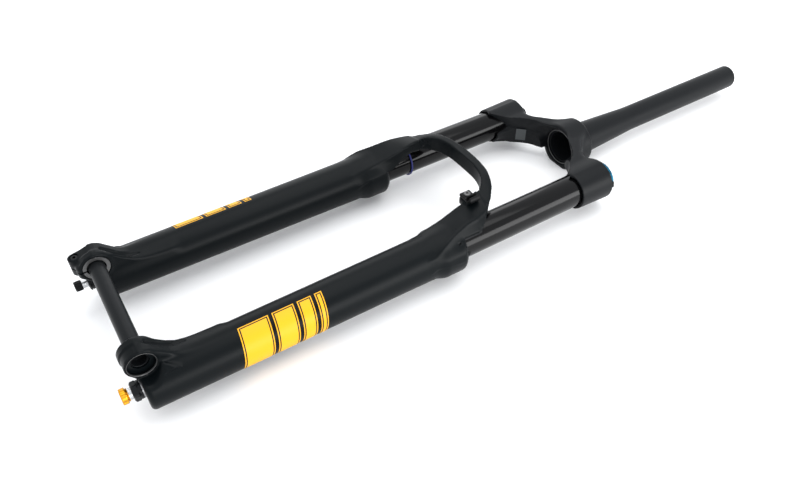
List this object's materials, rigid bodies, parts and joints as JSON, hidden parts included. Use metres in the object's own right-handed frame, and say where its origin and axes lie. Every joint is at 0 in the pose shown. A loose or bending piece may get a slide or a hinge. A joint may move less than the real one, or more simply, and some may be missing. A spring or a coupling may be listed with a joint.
{
  "type": "bicycle suspension fork",
  "caption": "Single-crown air-sprung bicycle suspension fork with tapered steerer, sliding one-piece lower legs, front arch, through axle and brake post mount.",
  "frame": {"origin": "centre of the crown race seat's shoulder, on the steerer axis", "axes": "+X up the steerer, +Z towards the front of the bicycle, +Y to the rider's right"},
  "size_m": [0.8212, 0.197, 0.0757],
  "materials": {
    "cast_black": "satin",
    "forged_black": "satin",
    "stanchion_black": "gloss",
    "steel": "satin",
    "alloy": "satin",
    "dark_alloy": "satin",
    "gold_anodised": "satin",
    "blue_anodised": "satin",
    "ring_blue": "satin",
    "seal_rubber": "matte",
    "bushing_bronze": "satin",
    "foam": "matte",
    "black_plastic": "satin"
  },
  "bodies": {
    "upper": {"crown": "forged_black", "steerer_tube": "forged_black", "stanchion_left": "stanchion_black", "stanchion_right": "stanchion_black", "damper_top_cap": "dark_alloy", "cartridge_tube": "alloy", "rod_guide": "dark_alloy", "base_valve": "alloy", "floating_piston_spring": "steel", "air_top_cap": "dark_alloy", "air_valve": "steel", "air_seal_head": "dark_alloy", "retaining_ring": "steel", "top_out_bumper": "seal_rubber"},
    "lower": {"lower_legs": "cast_black", "wiper_seal_left": "seal_rubber", "wiper_seal_right": "seal_rubber", "garter_springs": "steel", "foam_ring_left": "foam", "foam_ring_right": "foam", "upper_bushings": "bushing_bronze", "lower_bushings": "bushing_bronze", "damper_rod": "steel", "damper_piston": "dark_alloy", "piston_band": "bushing_bronze", "damper_foot_nut": "dark_alloy", "air_shaft": "alloy", "air_piston": "dark_alloy", "air_piston_seal": "seal_rubber", "bottom_out_bumper": "seal_rubber", "air_foot_nut": "dark_alloy", "ramp_valve": "steel", "crush_washers": "alloy", "hose_guide": "black_plastic", "hose_guide_screw": "steel"},
    "compression_ring": {"compression_ring": "dark_alloy"},
    "compression_knob": {"compression_knob": "blue_anodised"},
    "floating_piston": {"floating_piston": "dark_alloy"},
    "air_valve_cap": {"air_valve_cap": "black_plastic"},
    "sag_ring": {"sag_ring": "ring_blue"},
    "rebound_control": {"rebound_knob": "gold_anodised", "rebound_needle": "steel"},
    "ramp_valve_cap": {"ramp_valve_cap": "black_plastic"},
    "axle": {"axle": "dark_alloy"},
    "pinch_bolt": {"pinch_bolt": "dark_alloy"}
  },
  "joints": [
    {"name": "fork_travel", "type": "slide", "parent": "upper", "child": "lower", "axis": [1, 0, 0], "range_m": [0, 0.14], "stiffness_N_per_m": 5500, "springref_m": -0.03},
    {"name": "floating_piston_slide", "type": "slide", "parent": "upper", "child": "floating_piston", "axis": [1, 0, 0], "range_m": [0, 0.0255], "deforming": ["floating_piston_spring"]},
    {"name": "sag_ring_slide", "type": "slide", "parent": "upper", "child": "sag_ring", "axis": [1, 0, 0], "range_m": [0, 0.1067]},
    {"name": "rebound_turn", "type": "hinge", "parent": "lower", "child": "rebound_control", "pos_m": [-0.549, -0.0725, 0.006], "axis": [-1, 0, 0], "range_deg": [0, 540]},
    {"name": "compression_ring_turn", "type": "hinge", "parent": "upper", "child": "compression_ring", "pos_m": [-0.035, -0.0725, 0.006], "axis": [1, 0, 0], "range_deg": [0, 120]},
    {"name": "compression_knob_turn", "type": "hinge", "parent": "upper", "child": "compression_knob", "pos_m": [-0.035, -0.0725, 0.006], "axis": [1, 0, 0], "range_deg": [0, 480]},
    {"name": "air_valve_cap_off", "type": "slide", "parent": "upper", "child": "air_valve_cap", "axis": [1, 0, 0], "range_m": [0, 0.025]},
    {"name": "ramp_valve_cap_off", "type": "slide", "parent": "lower", "child": "ramp_valve_cap", "axis": [-1, 0, 0], "range_m": [0, 0.02]},
    {"name": "axle_withdrawal", "type": "slide", "parent": "lower", "child": "axle", "axis": [0, 1, 0], "range_m": [0, 0.16]},
    {"name": "pinch_bolt_turn", "type": "hinge", "parent": "lower", "child": "pinch_bolt", "pos_m": [-0.548, 0.069, 0.0335], "axis": [0, 0, 1], "range_deg": [0, 540]}
  ],
  "couplings": [
    {"joint": "floating_piston_slide", "follows": "fork_travel", "ratio": 0.1795},
    {"joint": "sag_ring_slide", "follows": "fork_travel", "ratio": 0.7607}
  ]
}
